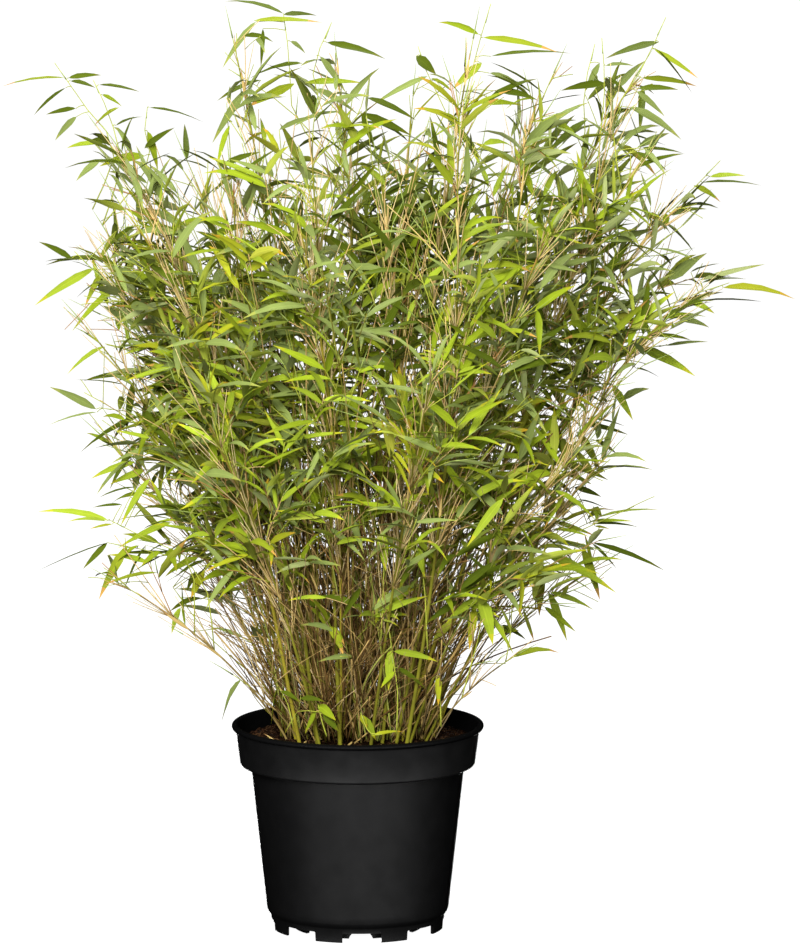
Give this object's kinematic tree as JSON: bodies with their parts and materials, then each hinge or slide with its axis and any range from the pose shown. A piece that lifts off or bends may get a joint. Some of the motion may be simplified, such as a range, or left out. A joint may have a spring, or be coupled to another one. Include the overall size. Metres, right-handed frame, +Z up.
{
  "type": "potted bamboo",
  "caption": "Clump of slender arching bamboo culms with layered narrow leaves, growing in a round black nursery pot with a rolled rim and notched foot.",
  "frame": {"origin": "centre of the flat underside of the pot, where it stands", "axes": "+Z up along the pot's axis; -Y is the side seen from the front, +X to its right"},
  "size_m": [0.7969, 0.6499, 0.9585],
  "materials": {
    "black_plastic": "satin moulded black polypropylene",
    "peat": "loose dark brown potting peat with fibres",
    "culm_green": "smooth waxy yellow-green cane with pale sheaths",
    "thin_stem_tan": "dry tan stems and twigs",
    "bamboo_leaf": "narrow satin leaves, yellow-green above and paler below"
  },
  "bodies": {
    "root": {"culm_01": "culm_green", "culm_02": "culm_green", "culm_03": "culm_green", "culm_04": "culm_green", "culm_05": "culm_green", "culm_06": "culm_green", "culm_07": "culm_green", "culm_08": "culm_green", "culm_09": "culm_green", "culm_10": "culm_green", "culm_11": "culm_green", "culm_12": "culm_green", "culm_13": "culm_green", "culm_14": "culm_green", "culm_15": "culm_green", "culm_16": "culm_green", "culm_17": "culm_green", "culm_18": "culm_green", "culm_19": "culm_green", "culm_20": "culm_green", "culm_21": "culm_green", "culm_22": "culm_green", "culm_23": "culm_green", "culm_24": "culm_green", "culm_25": "culm_green", "foliage_01": "bamboo_leaf", "foliage_02": "bamboo_leaf", "foliage_03": "bamboo_leaf", "foliage_04": "bamboo_leaf", "foliage_05": "bamboo_leaf", "foliage_06": "bamboo_leaf", "foliage_07": "bamboo_leaf", "foliage_08": "bamboo_leaf", "foliage_09": "bamboo_leaf", "foliage_10": "bamboo_leaf", "foliage_11": "bamboo_leaf", "foliage_12": "bamboo_leaf", "foliage_13": "bamboo_leaf", "foliage_14": "bamboo_leaf", "foliage_15": "bamboo_leaf", "foliage_16": "bamboo_leaf", "foliage_17": "bamboo_leaf", "foliage_18": "bamboo_leaf", "foliage_19": "bamboo_leaf", "foliage_20": "bamboo_leaf", "foliage_21": "bamboo_leaf", "foliage_22": "bamboo_leaf", "foliage_23": "bamboo_leaf", "foliage_24": "bamboo_leaf", "foliage_25": "bamboo_leaf", "thin_stems_01": "thin_stem_tan", "thin_stems_02": "thin_stem_tan", "thin_stems_03": "thin_stem_tan", "thin_stems_04": "thin_stem_tan", "thin_stems_05": "thin_stem_tan", "thin_stems_06": "thin_stem_tan", "pot": "black_plastic", "soil": "peat"}
  },
  "joints": []
}
